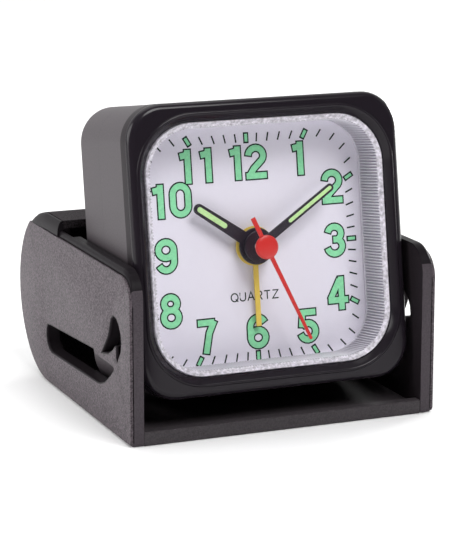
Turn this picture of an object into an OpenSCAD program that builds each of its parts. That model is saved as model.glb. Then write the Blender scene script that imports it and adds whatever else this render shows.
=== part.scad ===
// Folding travel alarm clock: a square quartz alarm clock that stands out of a half-open case.
// X is right when facing the dial, Y is back, Z is up; the origin is under the middle of the case.

/* [Case] */
// Gap between the clock and each cheek
side_gap = 1; // [0.6:0.1:3]
// Gap between the closed clock's face and the floor
face_gap = 2.4; // [2.2:0.1:4]
// Gap between the closed clock's back and the top plate
head_gap = 2.2; // [1.6:0.1:6]
// How far the closed clock's top edge stands proud of the front
proud = 0.6; // [0:0.1:1]
// How far the closed clock's lower edge reaches into the half-round back
rear_in = 5.9; // [2:0.1:6.5]
// Thickness of each cheek
cheek_t = 3; // [2.6:0.1:4]
// Radius of the cheeks' outer edges
edge_r = 3; // [2:0.1:4]
// Radius of the cheeks' front top corner in side view
front_r = 6; // [4:0.5:9]
// Radius of their front bottom corner
foot_r = 0.6; // [0.4:0.1:2]
// Wall of the rear cover and its top plate
cover_t = 1.8; // [1.4:0.1:2.2]
// Thickness of the floor
floor_t = 1.6; // [1.2:0.1:1.8]
// Height of the bar along the floor's front edge
bar_h = 3; // [2:0.1:3.6]
// Depth of that bar
bar_d = 2.4; // [1.6:0.1:3]
// Swing room between the standing clock's thickness and the edge of the top plate
notch_gap = 13.1; // [11.6:0.5:16.6]
// How far the cheeks' rim drops in front of the top plate
rim_drop = 2.2; // [1.5:0.1:3]

/* [Clock body] */
// Width and height of the square clock
clk = 62; // [60:0.5:66]
// Thickness of the clock, bezel to back
clk_t = 31; // [30:0.5:32]
// Radius of its corners
clk_r = 8; // [6:0.5:9]
// Depth of the bezel
bezel_t = 5.2; // [4.5:0.1:6]
// Depth from the bezel's face to the back cover's seam
seam_v = 19.4; // [18.5:0.1:20]
// Wall of the mid case and back cover
wall = 1.8; // [1.4:0.1:2]
// Width of the opening in the bezel
win_w = 54.8; // [52:0.1:55.2]
// Height of the opening in the bezel
win_h = 53.6; // [52:0.1:55.2]
// Corner radius of the opening
win_r = 11; // [8:0.5:13]
// Depth of the dial behind the bezel's face
dial_v = 11.4; // [11:0.1:11.6]
// Lean of the standing clock
lean = 9; // [8:0.5:10]
// Front edge of the standing clock, from the front of the case
stand_y = 2.4; // [2:0.1:3]
// Height of the standing clock's lower front edge
stand_z = 8.2; // [8:0.1:8.8]

/* [Fold] */
// Gap between the bezel and the bosses that hold the pivot pins
pivot_gap = 0.3; // [0.1:0.1:0.7]
// Pivot, up from the clock's lower edge
pivot_u = 7; // [6.6:0.1:7.4]
// Radius of the pivot pins
pin_r = 1.6; // [1.2:0.1:1.8]
// Depth of the groove in each cheek
groove_t = 1.6; // [1.2:0.1:1.8]

/* [Battery] */
// Radius of the AA cell
cell_r = 7.1; // [7:0.05:7.2]
// Length of the cell's can
cell_l = 49; // [48:0.1:49.4]

/* [Hands and dial] */
// How far the centre shaft is below the middle of the clock
shaft_drop = 0.8; // [0:0.1:1]
// Length of the minute hand
minute_l = 21.6; // [18:0.1:22]
// Length of the hour hand
hour_l = 16.7; // [12:0.1:17]
// Length of the second hand
second_l = 22.5; // [18:0.5:23]
// Length of the alarm hand
alarm_l = 17.4; // [12:0.5:18]

/* [Fits] */
// Radial clearance of turning shafts
run = 0.05; // [0.03:0.01:0.08]
// Gap between pieces that lie beside each other
gap = 0.1; // [0.05:0.01:0.15]

/* [Hidden] */
$fn = 64;
EPS = 0.01;

// the clock's pivot and shaft
boss_r = pin_r + 1.3;
pivot_v = bezel_t + pivot_gap + boss_r;
shaft_u = clk / 2 - shaft_drop;

// the case, fitted round the clock: its rear is a half circle as high as the case
fold_y = clk - pivot_u - proud;
fold_z = floor_t + face_gap + pivot_v;
case_h = floor_t + face_gap + clk_t + head_gap + cover_t;
rear_r = case_h / 2;
case_d = clk - proud + rear_r - rear_in;
notch_d = stand_y + clk_t + notch_gap;
y0 = -case_d / 2;
in_x = clk / 2 + side_gap;
rear_y = y0 + case_d - rear_r;
rim_z = case_h - rim_drop;

// clock
half = clk / 2;
back_v = clk_t;
in_half = half - wall;
mid_half = half - 0.2;
lens_v = 0.9;
lens_t = 1.2;
skirt_t = 1.3;
dial_t = 0.6;

// pivot positions in the case, open and closed
open_y = y0 + stand_y + pivot_v * cos(lean) + pivot_u * sin(lean);
open_z = stand_z - pivot_v * sin(lean) + pivot_u * cos(lean);
shut_y = y0 + fold_y;
shut_z = fold_z;
track_a = atan2(shut_z - open_z, shut_y - open_y);
track_l = norm([shut_y - open_y, shut_z - open_z]);
pin_in = win_w / 2 + 0.9;
pin_out = in_x + groove_t - gap;

// movement: the levels are depths behind the bezel's face
plate_v = dial_v + dial_t + gap;
plate_t = 1;
box_v = plate_v + plate_t;
box_back = 23;
box_t = 1.2;
box_x = 22.5;
box_u0 = shaft_u - 10.2;
box_u1 = shaft_u + 23.3;
tooth_t = 0.6;
lv_alarm = box_v + 0.3;
lv_hour = lv_alarm + 0.9;
lv_works = lv_hour + 1;
lv_centre = lv_works + 1;
lv_third = lv_centre + 1;
lv_seconds = lv_third + 1;
lv_inter = lv_seconds + 1;

// tubes on the centre shaft, inside to outside
arbor_r = 0.6;
minute_r = 1.1;
hour_r = 1.7;
alarm_r = 2.3;
// front faces of the hands
second_v = 3.1;
minute_v = 7.2;
hour_v = 8.7;
alarm_v = 9.9;
hand_t = 0.35;

// gear centres, each [x, up] from the centre shaft
d_third = 7.2;
d_works = 6.4;
d_inter = 6.9;
d_rotor = 6.63;
d_alarm = 8.4;
d_set = 6.8;
a_third = -10;
a_works = 60;
a_inter = 200;
a_alarm = 130;
function polar(r, a) = [r * cos(a), r * sin(a)];
p_third = polar(d_third, a_third);
p_works = polar(d_works, a_works);
p_inter = polar(d_inter, a_inter);
p_rotor = p_inter + polar(d_rotor, a_inter);
p_alarm = polar(d_alarm, a_alarm);
p_set = p_works + polar(d_set, a_works);
knob_r = 5;
pocket_r = 5.8;
pocket_d = 1.8;
knob_shaft_r = 0.9;
// front of the intermediate wheel's arbor, which passes beside the centre wheel's teeth
thin_r = 0.2;

// battery compartment: the cell lies between the lower wall and the movement, beside its spring
door_t = 1.4;
door_lip = 0.4;
spring_room = 3.8;
cell_u = wall + cell_r + (box_u0 - wall - 2 * cell_r) * 0.375;
cell_v = back_v - door_t - 1.2 - cell_r;
cell_x0 = 0.2 - half + wall + gap + spring_room;
door_x = cell_x0 + (cell_l + 1.2) / 2;
door_w = cell_l + 3;
door_u0 = cell_u - cell_r - 0.5;
door_u1 = cell_u + cell_r + 0.9;

// hand angles for 10:09:26 with the alarm at 6
t_second = 26;
t_minute = 9 + t_second / 60;
t_hour = 10 + t_minute / 60;
ang_second = 6 * t_second;
ang_minute = 6 * t_minute;
ang_hour = 30 * t_hour;
ang_alarm = 180;

// the gear pair's second tooth phase, given the first gear's phase and the line of centres
function mate(phase, n1, n2, line) =
  let (f = (line - phase) * n1 / 360, d = f - floor(f)) line + 180 + (d + 0.5) * 360 / n2;
ph_cannon = a_works;
ph_works = mate(ph_cannon, 8, 24, a_works);
ph_set = mate(ph_works, 24, 10, a_works);
ph_works_pinion = a_works + 180;
ph_hour = mate(ph_works_pinion, 8, 32, a_works + 180);
ph_third_pinion = a_third + 180;
ph_centre = mate(ph_third_pinion, 6, 48, a_third + 180);
ph_seconds_pinion = a_third;
ph_third = mate(ph_seconds_pinion, 6, 45, a_third);
ph_inter_pinion = a_inter + 180;
ph_seconds = mate(ph_inter_pinion, 6, 24, a_inter + 180);
ph_rotor = a_inter + 180;
ph_inter = mate(ph_rotor, 6, 45, a_inter + 180);
ph_alarm_pinion = a_alarm + 180;
ph_alarm = mate(ph_alarm_pinion, 24, 32, a_alarm + 180);

// ---- helpers ----
// the clock's own frame: X right, Y back from the bezel's face, Z up its face
module on_clock() translate([0, y0 + stand_y, stand_z]) rotate([-lean, 0, 0]) children();
// a flat shape in X and Z, extruded from depth v0 to depth v1
module deep(v0, v1) translate([0, v1, 0]) rotate([90, 0, 0]) linear_extrude(v1 - v0) children();
module disc(p, r, v0, v1) translate([p[0], v0, p[1]]) rotate([-90, 0, 0]) cylinder(r = r, h = v1 - v0);
module ring(p, r1, r0, v0, v1)
  difference() { disc(p, r1, v0, v1); disc(p, r0, v0 - 1, v1 + 1); }
module box(x0, x1, v0, v1, u0, u1) translate([x0, v0, u0]) cube([x1 - x0, v1 - v0, u1 - u0]);
module round_square(w, h, r) {
  square([w - 2 * r, h], center = true);
  square([w, h - 2 * r], center = true);
  for (x = [-1, 1], y = [-1, 1]) translate([x * (w / 2 - r), y * (h / 2 - r)]) circle(r);
}
module block(w, h, r, v0, v1, u = half) translate([0, 0, u]) deep(v0, v1) round_square(w, h, r);
function at_shaft(p) = [p[0], shaft_u + p[1]];

// one gear: n teeth of module m, a tooth centred at the phase angle
module gear_flat(n, m, phase, share = 0.36) {
  p = 360 / n;
  rr = m * n / 2 - 1.15 * m;
  rt = m * n / 2 + 0.8 * m;
  tip = share * 0.5;
  root = share * 1.25;
  polygon([for (i = [0:n - 1], q = [[rr, -root / 2], [rt, -tip / 2], [rt, tip / 2], [rr, root / 2]])
    polar(q[0], phase + (i + q[1]) * p)]);
}
module gear(p, n, m, phase, v, share = 0.36)
  translate([p[0], 0, p[1]]) deep(v, v + tooth_t) gear_flat(n, m, phase, share);

// ---- case ----
lap = 1.4;
groove = 0.3;
rebate = 2.4;
// slices of the cheek's rounded edge: height above the inner face, inset of the top edge, and
// the smaller inset of the back and underside
slices = [for (a = [0:30:90]) let (e = edge_r * (1 - cos(a)))
  [max(0.3, cheek_t - edge_r * (1 - sin(a))), e, min(e, foot_r)]];
// corners of the side outline: [y, z, radius]
top_corner = [y0 + front_r, rim_z - front_r, front_r];
foot_corners = [[y0 + foot_r, foot_r, foot_r], [rear_y, foot_r, foot_r]];
// a flat shape in Y and Z, extruded outward from distance d0 to d1 on the left side of the case
module sideways(d0, d1) translate([-d1, 0, 0]) rotate([90, 0, 90]) linear_extrude(d1 - d0) children();
module cheek_slab() hull() for (s = slices) {
  translate([-in_x, top_corner[0], top_corner[1] - s[1]]) rotate([0, -90, 0])
    cylinder(r = top_corner[2], h = s[0]);
  for (c = foot_corners) translate([-in_x, c[0], c[1] + s[2]]) rotate([0, -90, 0])
    cylinder(r = c[2], h = s[0], $fn = 24);
  back_r = rear_r - (s[1] + s[2]) / 2;
  translate([-in_x, y0 + case_d - s[2] - back_r, s[2] + back_r]) rotate([0, -90, 0])
    cylinder(r = back_r, h = s[0], $fn = 96);
}

// side section of the rear cover, from d0 to d1 inside the case's outline: a flat top plate and
// a half-round back
module rear_shell(d0, d1) {
  translate([y0 + notch_d, case_h - d1]) square([rear_y - y0 - notch_d, d1 - d0]);
  translate([rear_y, rear_r]) intersection() {
    difference() { circle(r = rear_r - d0); circle(r = rear_r - d1); }
    translate([0, -case_h]) square([case_h, 2 * case_h]);
  }
}

// the window in each cheek: a long slot and a fin-shaped branch above its front end, with a
// finger left between them
slot_y1 = fold_y + 0.4;
slot_z0 = 8;
slot_z1 = 13.8;
finger_y = 22.3;
finger_z = 14.5;
fin_y = 5.5;
fin_z = 25.6;
module window_flat() translate([y0, 0]) {
  polygon([[slot_y1 - 3.2, slot_z0], [slot_y1 - 1.2, slot_z0 + 0.6], [slot_y1 - 0.1, slot_z0 + 2.4],
    [slot_y1, slot_z1 - 0.9], [slot_y1 - 0.6, slot_z1 - 0.2], [slot_y1 - 1.8, slot_z1],
    [finger_y + 0.5, finger_z + 1.1], [finger_y, finger_z], [fin_y + 4.9, finger_z],
    [fin_y + 4.7, finger_z - 0.3], [fin_y + 6.7, finger_z - 1.9], [fin_y + 9.1, slot_z0 + 3],
    [fin_y + 10.9, slot_z0 + 2], [fin_y + 13.1, slot_z0 + 1.3], [fin_y + 14.5, slot_z0 + 1.1]]);
  polygon([[fin_y + 2.9, fin_z - 5.9], [fin_y + 3.9, fin_z - 6], [fin_y + 5.5, fin_z - 7.3],
    [fin_y + 11.7, fin_z - 9.2], [fin_y + 9.1, fin_z - 6.7], [fin_y + 7.1, fin_z - 4.1],
    [fin_y + 5.8, fin_z - 0.9], [fin_y + 4.6, fin_z], [fin_y + 3, fin_z - 0.1], [fin_y + 1.5, fin_z - 1.2],
    [fin_y + 0.4, fin_z - 2.7], [fin_y, fin_z - 4.6], [fin_y + 0.4, fin_z - 6.4], [fin_y + 2.3, fin_z - 8.9],
    [fin_y + 2.6, fin_z - 8.4], [fin_y + 2.6, fin_z - 6]]);
}
// the groove that a pivot pin slides in
module track(r) {
  for (p = [[open_y, open_z], [shut_y, shut_z]])
    translate([1 - in_x, p[0], p[1]]) rotate([0, -90, 0]) cylinder(r = r, h = 1 + groove_t);
  translate([-in_x - groove_t, open_y, open_z]) rotate([track_a, 0, 0])
    translate([0, 0, -r]) cube([1 + groove_t, track_l, 2 * r]);
}
module cheek() difference() {
  cheek_slab();
  // the rim in front of the top plate, and the ledge inside it
  sideways(in_x - 1, in_x + cheek_t + 1) translate([y0 - 1, rim_z]) square([notch_d + 1, case_h]);
  sideways(in_x - 1, in_x + cheek_t / 2) translate([y0 + front_r, rim_z - rebate])
    square([notch_d - front_r, case_h]);
  // seat for the rear cover, and the groove beside its edge
  sideways(in_x - 1, in_x + lap) rear_shell(-1, cover_t);
  sideways(in_x + lap - EPS, in_x + lap + groove) rear_shell(-1, 1.2);
  sideways(in_x - 1, in_x + cheek_t + 1) window_flat();
  track(pin_r + run);
}
module case_left_cheek() color("dimgray") cheek();
module case_right_cheek() color("dimgray") mirror([1, 0, 0]) cheek();
module case_base_plate() color("#333") {
  translate([-in_x, y0, 0]) cube([2 * in_x, rear_y - y0, floor_t]);
  translate([-in_x, y0, 0]) cube([2 * in_x, bar_d, bar_h]);
}
module case_rear_cover() color("#444")
  translate([-in_x - lap, 0, 0]) rotate([90, 0, 90]) linear_extrude(2 * (in_x + lap)) rear_shell(0, cover_t);

// ---- pivot pins ----
module pivot_pin(side) translate([side * pin_in, open_y, open_z]) rotate([0, side * 90, 0])
  cylinder(r = pin_r, h = pin_out - pin_in);
module pivot_pin_left() color("silver") pivot_pin(-1);
module pivot_pin_right() color("silver") pivot_pin(1);

// ---- clock shell ----
flange_v = 3.9;
flange_w = 1.2;
post_r = 2.7;
screw_r = 0.8;
posts = [for (x = [-1, 1], q = [[half - 5.4, clk - 5.4], [half - 4.4, door_u1 + 2.6]]) [x * q[0], q[1]]];
module bezel() color("#222") on_clock() difference() {
  union() {
    block(clk - 1.4, clk - 1.4, clk_r - 0.7, 0, 1);
    block(clk, clk, clk_r, 0.7, bezel_t);
  }
  block(win_w, win_h, win_r, -1, flange_v + 1);
  block(win_w + 2 * flange_w, win_h + 2 * flange_w, win_r + flange_w, flange_v, bezel_t + 1);
}
module lens() color("lightblue", 0.35) on_clock() difference() {
  union() {
    block(win_w - 2 * gap, win_h - 2 * gap, win_r - gap, lens_v, dial_v - gap);
    block(win_w + 2 * (flange_w - gap), win_h + 2 * (flange_w - gap), win_r + flange_w - gap, flange_v + gap,
      bezel_t);
  }
  block(win_w - 2 * (gap + skirt_t), win_h - 2 * (gap + skirt_t), win_r - gap - skirt_t, lens_v + lens_t, dial_v);
}
module dial() color("white") on_clock() difference() {
  block(win_w + 1, win_h + 1, win_r, dial_v, dial_v + dial_t);
  disc([0, shaft_u], alarm_r + 0.4, dial_v - 1, dial_v + 2);
}
module mid_case() color("#333") on_clock() difference() {
  union() {
    difference() {
      block(2 * mid_half, 2 * mid_half, clk_r - 0.2, bezel_t, seam_v);
      block(2 * in_half, 2 * in_half, clk_r - wall, bezel_t - 1, seam_v + 1);
    }
    // ledge behind the dial
    difference() {
      block(2 * in_half + 0.4, 2 * in_half + 0.4, clk_r - wall, plate_v, plate_v + plate_t);
      block(51, 51, 6, plate_v - 1, plate_v + plate_t + 1);
    }
    for (p = posts) disc(p, post_r, plate_v + plate_t / 2, seam_v - gap);
    for (s = [-1, 1]) translate([s * (win_w / 2 + 0.15), pivot_v, pivot_u]) rotate([0, s * 90, 0])
      cylinder(r = boss_r, h = in_half - win_w / 2);
  }
  for (s = [-1, 1]) translate([s * pin_in, pivot_v, pivot_u]) rotate([0, s * 90, 0])
    cylinder(r = pin_r + run, h = half);
  for (p = posts) disc(p, screw_r, 15 - gap, seam_v + 1);
}
// back cover
cover_half = half - 0.2;
cover_wall_v = back_v - wall;
screw_v = back_v - 1.1;
switch_x = 10;
switch_u = shaft_u + 22.8;
switch_travel = 3.4;
buzzer_p = [-16, shaft_u + 19.8];
buzzer_r = 8.4;
module back_cover() color("#3a3a3a") on_clock() difference() {
  union() {
    difference() {
      block(2 * cover_half, 2 * cover_half, clk_r - 0.2, seam_v, back_v);
      block(2 * cover_half - 2 * wall, 2 * cover_half - 2 * wall, clk_r - 0.2 - wall, seam_v - 1, cover_wall_v);
    }
    for (p = posts) disc(p, post_r - 0.1, seam_v + gap, cover_wall_v + 0.5);
    for (p = [p_alarm, p_set]) disc(at_shaft(p), pocket_r + 1.2, cover_wall_v - 1.6, cover_wall_v + 0.5);
  }
  for (p = [p_alarm, p_set]) {
    disc(at_shaft(p), pocket_r, back_v - pocket_d, back_v + 1);
    disc(at_shaft(p), knob_shaft_r + run, seam_v, back_v);
  }
  for (p = posts) {
    disc(p, screw_r + 0.15, seam_v - 1, back_v);
    disc(p, 1.8, screw_v, back_v + 1);
  }
  door_box(gap, back_v - door_t - gap, back_v + 1);
  door_box(-door_lip, seam_v, back_v);
  box(switch_x - 6, switch_x + 6, back_v - 1.1, back_v + 1, switch_u - 3.2, switch_u + 3.2);
  box(switch_x - 4.2, switch_x + 4.2, seam_v, back_v, switch_u - 1.4, switch_u + 1.4);
  for (k = [0:6]) disc(buzzer_p + (k == 0 ? [0, 0] : polar(4, 60 * k)), 0.8, seam_v, back_v + 1);
}
module back_cover_screws() color("silver") on_clock() for (p = posts) {
  disc(p, screw_r, 15, screw_v + 0.5);
  disc(p, 1.6, screw_v, screw_v + 0.8);
}
module door_box(grow, v0, v1)
  box(door_x - door_w / 2 - grow, door_x + door_w / 2 + grow, v0, v1, door_u0 - grow, door_u1 + grow);
module battery_door() color("#3a3a3a") on_clock() {
  door_box(0, back_v - door_t, back_v);
  for (k = [0:3]) box(door_x - 5, door_x + 5, back_v - 0.4, back_v + 0.3, door_u1 - 2 - 1.2 * k, door_u1 - 1.4 - 1.2 * k);
}

// ---- power ----
module along_x(x, r, l) translate([x, cell_v, cell_u]) rotate([0, 90, 0]) cylinder(r = r, h = l);
module battery_cell() color("goldenrod") on_clock() {
  along_x(cell_x0, cell_r, cell_l);
  along_x(cell_x0 + cell_l, 2.7, 1);
}
module contact_spring() color("silver") on_clock() {
  translate([-cover_half + wall + gap, cell_v - 4, cell_u - 2]) cube([0.4, 8, 6.5]);
  for (k = [0:4]) translate([-cover_half + wall + gap + 0.6 + 0.62 * k, cell_v, cell_u]) rotate([0, 90, 0])
    rotate_extrude() translate([3.4 - 0.3 * k, 0]) circle(r = 0.4, $fn = 24);
}
module contact_plate() color("silver") on_clock()
  translate([cell_x0 + cell_l + 1, cell_v - 4, cell_u - 4.5]) cube([0.4, 8, 10]);

// ---- movement ----
module movement_front_plate() color("gainsboro") on_clock() difference() {
  union() {
    box(-box_x, box_x, plate_v, box_v, box_u0, box_u1);
    difference() {
      box(-box_x, box_x, plate_v, box_back, box_u0, box_u1);
      box(-box_x + 1.2, box_x - 1.2, box_v, box_back + 1, box_u0 + 1.2, box_u1 - 1.2);
    }
    disc(at_shaft(p_works), 0.5, box_v - EPS, lv_works + tooth_t + 0.2);
    for (p = screw_posts) disc(p, 2, box_v - EPS, box_back);
  }
  disc(at_shaft([0, 0]), alarm_r + run, plate_v - 1, box_v + 1);
  for (p = [p_third, p_alarm, p_set]) disc(at_shaft(p), 0.4 + run, plate_v - 1, box_v + 1);
  disc(at_shaft(p_inter), thin_r + run, plate_v - 1, box_v + 1);
  disc(at_shaft(p_rotor), 0.3 + run, plate_v - 1, box_v + 1);
  for (p = screw_posts) disc(p, screw_r, 16, box_back + 1);
}
screw_posts = [[-19, box_u1 - 3], [19.4, box_u1 - 3], [19.4, box_u0 + 3]];
module movement_rear_cover() color("gainsboro") on_clock() difference() {
  box(-box_x, box_x, box_back, box_back + box_t, box_u0, box_u1);
  for (p = [[0, 0], p_third, p_inter]) disc(at_shaft(p), 0.4 + run, box_back - 1, box_back + 3);
  disc(at_shaft(p_rotor), 0.3 + run, box_back - 1, box_back + 3);
  for (p = [p_alarm, p_set]) disc(at_shaft(p), knob_shaft_r + run, box_back - 1, box_back + 3);
  for (p = screw_posts) disc(p, screw_r, box_back - 1, box_back + 3);
}
module movement_screws() color("silver") on_clock() for (p = screw_posts) {
  disc(p, screw_r, 16.2, box_back + box_t + 0.3);
  disc(p, 1.5, box_back + box_t, box_back + box_t + 0.8);
}
board_v = 21.4;
module circuit_board() color("green") on_clock() 
  box(9.4, 16.6, board_v, board_v + 0.8, shaft_u + 7.8, shaft_u + 20.8);
module driver_chip() color("#111") on_clock() 
  box(11, 15, board_v - 0.7, board_v, shaft_u + 9.8, shaft_u + 13.8);
module quartz_crystal() color("silver") on_clock()
  translate([13, board_v - 1, shaft_u + 14.8]) cylinder(r = 1, h = 5.4);
coil_x = -18.4;
coil_v = 17.6;
coil_u0 = shaft_u - 8.6;
coil_l = 13;
module coil_bobbin() color("#eee") on_clock() translate([coil_x, coil_v, 0]) {
  translate([0, 0, coil_u0]) cylinder(r = 1.2, h = coil_l);
  for (u = [coil_u0, coil_u0 + coil_l - 0.6]) translate([0, 0, u]) cylinder(r = 2.8, h = 0.6);
}
module coil_winding() color("#b5651d") on_clock() translate([coil_x, coil_v, coil_u0 + 0.6]) difference() {
  cylinder(r = 2.5, h = coil_l - 1.2);
  translate([0, 0, -1]) cylinder(r = 1.2, h = coil_l + 1);
}
rotor_v = lv_inter + tooth_t;
module stator() color("slategray") on_clock() difference() {
  union() {
    disc(at_shaft(p_rotor), 4.4, rotor_v + 0.6, rotor_v + 1.4);
    box(coil_x - 1.5, p_rotor[0], rotor_v + 0.6, rotor_v + 1.4, coil_u0 + 1, coil_u0 + 4);
    box(coil_x - 1.5, p_rotor[0], rotor_v + 0.6, rotor_v + 1.4, coil_u0 + coil_l - 4, coil_u0 + coil_l - 1);
    box(coil_x - 1.5, coil_x + 1.5, rotor_v + 0.6, rotor_v + 1.4, coil_u0 + 1, coil_u0 + coil_l - 1);
  }
  disc(at_shaft(p_rotor), 3, rotor_v, rotor_v + 3);
}
module rotor() color("#555") on_clock() {
  disc(at_shaft(p_rotor), 0.3, plate_v + 0.2, box_back + 0.9);
  disc(at_shaft(p_rotor), 2.6, rotor_v + 0.2, rotor_v + 1.8);
  gear(at_shaft(p_rotor), 6, 0.26, ph_rotor, lv_inter, 0.3);
}

module intermediate_wheel() color("ivory") on_clock() {
  disc(at_shaft(p_inter), thin_r, plate_v + 0.2, lv_seconds + 0.1);
  disc(at_shaft(p_inter), 0.4, lv_seconds, box_back + 0.9);
  gear(at_shaft(p_inter), 45, 0.26, ph_inter, lv_inter);
  gear(at_shaft(p_inter), 6, 0.46, ph_inter_pinion, lv_seconds, 0.3);
  disc(at_shaft(p_inter), 0.8, lv_seconds + tooth_t, lv_inter + 0.1);
}
module seconds_wheel() color("ivory") on_clock() {
  disc(at_shaft([0, 0]), arbor_r, second_v + hand_t, lv_centre + tooth_t + 0.1);
  disc(at_shaft([0, 0]), 0.4, lv_centre, box_back + 0.9);
  gear(at_shaft([0, 0]), 6, 0.28235, ph_seconds_pinion, lv_third, 0.3);
  gear(at_shaft([0, 0]), 24, 0.46, ph_seconds, lv_seconds);
}
module third_wheel() color("ivory") on_clock() {
  disc(at_shaft(p_third), 0.4, plate_v + 0.2, box_back + 0.9);
  gear(at_shaft(p_third), 45, 0.28235, ph_third, lv_third);
  gear(at_shaft(p_third), 6, 0.26667, ph_third_pinion, lv_centre, 0.3);
}
module centre_wheel() color("ivory") on_clock() difference() {
  union() {
    gear(at_shaft([0, 0]), 48, 0.26667, ph_centre, lv_centre);
    gear(at_shaft([0, 0]), 8, 0.4, ph_cannon, lv_works, 0.3);
    disc(at_shaft([0, 0]), minute_r, minute_v, lv_centre + 0.1);
  }
  disc(at_shaft([0, 0]), arbor_r + run, minute_v - 1, lv_third);
}
module minute_works_wheel() color("ivory") on_clock() difference() {
  union() {
    gear(at_shaft(p_works), 24, 0.4, ph_works, lv_works);
    gear(at_shaft(p_works), 8, 0.32, ph_works_pinion, lv_hour, 0.3);
    disc(at_shaft(p_works), 0.85, lv_hour, lv_works + 0.1);
  }
  disc(at_shaft(p_works), 0.5 + run, box_v, lv_centre);
}
module hour_wheel() color("ivory") on_clock() difference() {
  union() {
    gear(at_shaft([0, 0]), 32, 0.32, ph_hour, lv_hour);
    disc(at_shaft([0, 0]), hour_r, hour_v, lv_hour + 0.1);
  }
  disc(at_shaft([0, 0]), minute_r + run, hour_v - 1, lv_works);
}
module alarm_wheel() color("ivory") on_clock() difference() {
  union() {
    gear(at_shaft([0, 0]), 32, 0.3, ph_alarm, lv_alarm);
    disc(at_shaft([0, 0]), alarm_r, alarm_v, lv_alarm + 0.1);
  }
  disc(at_shaft([0, 0]), hour_r + run, alarm_v - 1, lv_hour);
}
module alarm_contact_spring() color("#b87333") on_clock()
  box(-box_x + 1.2, -3, lv_alarm + tooth_t + 0.08, lv_alarm + tooth_t + 0.2, shaft_u + 1, shaft_u + 3);
module buzzer() color("goldenrod") on_clock() disc(buzzer_p, buzzer_r, cover_wall_v - 0.7, cover_wall_v);

// ---- hands: drawn pointing up, turned clockwise by their angle ----
module hand(a, v, t = hand_t) translate([0, 0, shaft_u]) rotate([0, a, 0]) deep(v, v + t) children();
module bar_flat(w0, w1, l0, l1) polygon([[-w0 / 2, l0], [w0 / 2, l0], [w1 / 2, l1], [-w1 / 2, l1]]);
module alarm_hand() color("gold") on_clock() hand(ang_alarm, alarm_v) difference() {
  union() { circle(r = 4.1); bar_flat(1.1, 1.1, 0, alarm_l); }
  circle(r = alarm_r);
}
module hour_hand() color("#111") on_clock() hand(ang_hour, hour_v) difference() {
  union() { circle(r = 3.9); bar_flat(3, 2.4, 0, hour_l); }
  circle(r = hour_r);
}
module minute_hand() color("#111") on_clock() hand(ang_minute, minute_v) difference() {
  union() { circle(r = 3.2); bar_flat(2.2, 1.7, 0, minute_l); }
  circle(r = minute_r);
}
module second_hand() color("red") on_clock() {
  hand(ang_second, second_v) { circle(r = 2.6); bar_flat(0.9, 0.7, -7, second_l); }
  ring([0, shaft_u], 1, arbor_r, second_v + hand_t - 0.1, second_v + 2);
}

// ---- controls ----
module set_knob(p, n, m, phase, v) difference() {
  union() {
    disc(at_shaft(p), 0.4, plate_v + 0.2, box_v + 0.2);
    disc(at_shaft(p), knob_shaft_r, box_v + 0.15, back_v - 1);
    gear(at_shaft(p), n, m, phase, v);
    disc(at_shaft(p), knob_r, back_v - pocket_d + 0.2, back_v - 0.2);
  }
  for (k = [0:23]) disc(at_shaft(p) + polar(knob_r + 0.1, 15 * k), 0.35, back_v - pocket_d, back_v);
}
module time_set_knob() color("#555") on_clock() set_knob(p_set, 10, 0.4, ph_set, lv_works);
module alarm_set_knob() color("#555") on_clock() set_knob(p_alarm, 24, 0.3, ph_alarm_pinion, lv_alarm);
module alarm_switch() color("#555") on_clock() translate([switch_x - switch_travel / 2, 0, switch_u]) {
  box(-4.6, 4.6, cover_wall_v - 1.1, cover_wall_v - 0.1, -2.2, 2.2);
  box(-2, 2, cover_wall_v - 0.2, back_v - 0.9, -1.2, 1.2);
  box(-2.5, 2.5, back_v - 1, back_v - 0.1, -2.5, 2.5);
}

case_left_cheek();
case_right_cheek();
case_base_plate();
case_rear_cover();
pivot_pin_left();
pivot_pin_right();
bezel();
lens();
dial();
mid_case();
back_cover();
back_cover_screws();
battery_door();
battery_cell();
contact_spring();
contact_plate();
movement_front_plate();
movement_rear_cover();
movement_screws();
circuit_board();
quartz_crystal();
driver_chip();
coil_bobbin();
coil_winding();
stator();
rotor();
intermediate_wheel();
seconds_wheel();
third_wheel();
centre_wheel();
minute_works_wheel();
hour_wheel();
alarm_wheel();
alarm_contact_spring();
buzzer();
alarm_hand();
hour_hand();
minute_hand();
second_hand();
time_set_knob();
alarm_set_knob();
alarm_switch();
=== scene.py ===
import math

import bmesh
import bpy
from mathutils import Matrix, Vector


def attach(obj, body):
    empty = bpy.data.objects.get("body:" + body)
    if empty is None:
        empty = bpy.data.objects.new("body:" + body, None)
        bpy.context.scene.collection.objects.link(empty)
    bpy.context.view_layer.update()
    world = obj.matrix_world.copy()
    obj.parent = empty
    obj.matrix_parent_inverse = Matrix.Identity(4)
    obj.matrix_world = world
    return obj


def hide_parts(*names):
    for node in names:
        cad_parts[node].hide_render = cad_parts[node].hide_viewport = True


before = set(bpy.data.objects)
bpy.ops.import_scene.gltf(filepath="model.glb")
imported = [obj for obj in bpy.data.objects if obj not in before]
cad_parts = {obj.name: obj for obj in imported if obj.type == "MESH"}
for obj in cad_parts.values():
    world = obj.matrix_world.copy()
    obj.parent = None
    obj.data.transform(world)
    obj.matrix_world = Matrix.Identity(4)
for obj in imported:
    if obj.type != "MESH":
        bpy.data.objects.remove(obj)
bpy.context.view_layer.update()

MM = 0.001

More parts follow.
